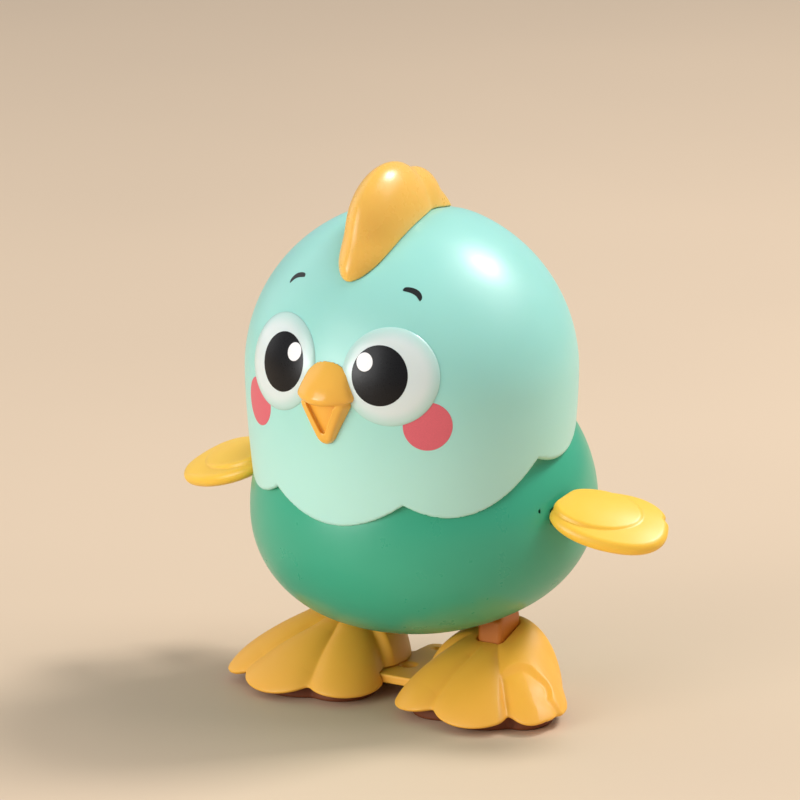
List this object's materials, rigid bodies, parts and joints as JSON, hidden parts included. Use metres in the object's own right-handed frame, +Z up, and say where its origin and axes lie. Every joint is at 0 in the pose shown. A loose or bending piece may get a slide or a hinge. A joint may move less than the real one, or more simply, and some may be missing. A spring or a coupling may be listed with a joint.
{
  "type": "wind-up hopping chicken",
  "caption": "Wind-up hopping toy chicken: domed head shell over an egg body, comb, beak, disc eyes, hinged wings, fan feet on a bridge, side winding knob and gear train.",
  "frame": {"origin": "on the floor under the middle of the overall width and depth, between the two soles", "axes": "+X to the chicken's left, -Y to its front where the beak points, +Z up to the comb"},
  "size_m": [0.117, 0.079, 0.114],
  "materials": {
    "mint_plastic": "satin",
    "teal_plastic": "satin",
    "comb_plastic": "semi-gloss",
    "eye_white": "semi-gloss",
    "wing_plastic": "satin",
    "foot_plastic": "satin",
    "leg_plastic": "satin",
    "sole_plastic": "matt",
    "frame_nylon": "moulded, semi-matt",
    "cam_acetal": "moulded",
    "steel": "turned",
    "spring_steel": "blued",
    "zinc_screw": "zinc plated",
    "brass": "turned"
  },
  "bodies": {
    "shell": {"head_shell": "mint_plastic", "body_shell": "teal_plastic", "comb": "comb_plastic", "beak": "comb_plastic", "eye_left": "eye_white", "eye_right": "eye_white", "wing_pins": "steel", "frame_plate_left": "frame_nylon", "frame_plate_right": "frame_nylon", "frame_base": "frame_nylon", "frame_pillars": "steel", "frame_screws": "zinc_screw", "shell_screws": "zinc_screw", "mainspring": "spring_steel", "leg_shaft": "steel", "shaft_clips": "spring_steel", "return_springs": "spring_steel"},
    "winder": {"winding_knob": "foot_plastic", "winding_arbor": "steel", "ratchet_wheel": "frame_nylon", "ratchet_click": "spring_steel", "great_wheel": "frame_nylon"},
    "second_train": {"second_arbor": "steel", "second_pinion": "brass", "second_wheel": "frame_nylon"},
    "cam_train": {"cam_arbor": "steel", "cam_pinion": "brass", "cam_wheel": "frame_nylon", "hop_cam": "cam_acetal"},
    "governor": {"governor_arbor": "steel", "governor_pinion": "brass", "governor_flywheel": "brass"},
    "legs": {"leg_left": "leg_plastic", "leg_right": "leg_plastic", "hop_yoke": "leg_plastic", "yoke_screws": "zinc_screw", "foot_left": "foot_plastic", "foot_right": "foot_plastic", "sole_left": "sole_plastic", "sole_right": "sole_plastic", "foot_bridge": "foot_plastic", "foot_screws": "zinc_screw"},
    "left_wing": {"wing_left": "wing_plastic"},
    "right_wing": {"wing_right": "wing_plastic"}
  },
  "joints": [
    {"name": "key_spin", "type": "hinge", "parent": "shell", "child": "winder", "pos_m": [0, 0.0175, 0.036], "axis": [1, 0, 0], "continuous": true},
    {"name": "second_spin", "type": "hinge", "parent": "shell", "child": "second_train", "pos_m": [0, 0.00389, 0.0423], "axis": [1, 0, 0], "continuous": true},
    {"name": "cam_spin", "type": "hinge", "parent": "shell", "child": "cam_train", "pos_m": [0, -0.006, 0.0355], "axis": [1, 0, 0], "continuous": true},
    {"name": "governor_spin", "type": "hinge", "parent": "shell", "child": "governor", "pos_m": [0, -0.01455, 0.04106], "axis": [1, 0, 0], "continuous": true},
    {"name": "leg_swing", "type": "hinge", "parent": "shell", "child": "legs", "pos_m": [0, 0.004, 0.026], "axis": [1, 0, 0], "range_deg": [0, 10], "stiffness_Nm_per_rad": 0.05, "springref_deg": -28.65},
    {"name": "left_wing_flap", "type": "hinge", "parent": "shell", "child": "left_wing", "pos_m": [0.0315, -0.005, 0.0446], "axis": [0, -1, 0], "range_deg": [0, 20]},
    {"name": "right_wing_flap", "type": "hinge", "parent": "shell", "child": "right_wing", "pos_m": [-0.0315, -0.005, 0.0446], "axis": [0, 1, 0], "range_deg": [0, 20]}
  ],
  "couplings": [
    {"joint": "second_spin", "follows": "key_spin", "ratio": -4},
    {"joint": "cam_spin", "follows": "key_spin", "ratio": 12},
    {"joint": "governor_spin", "follows": "key_spin", "ratio": -28.8}
  ]
}
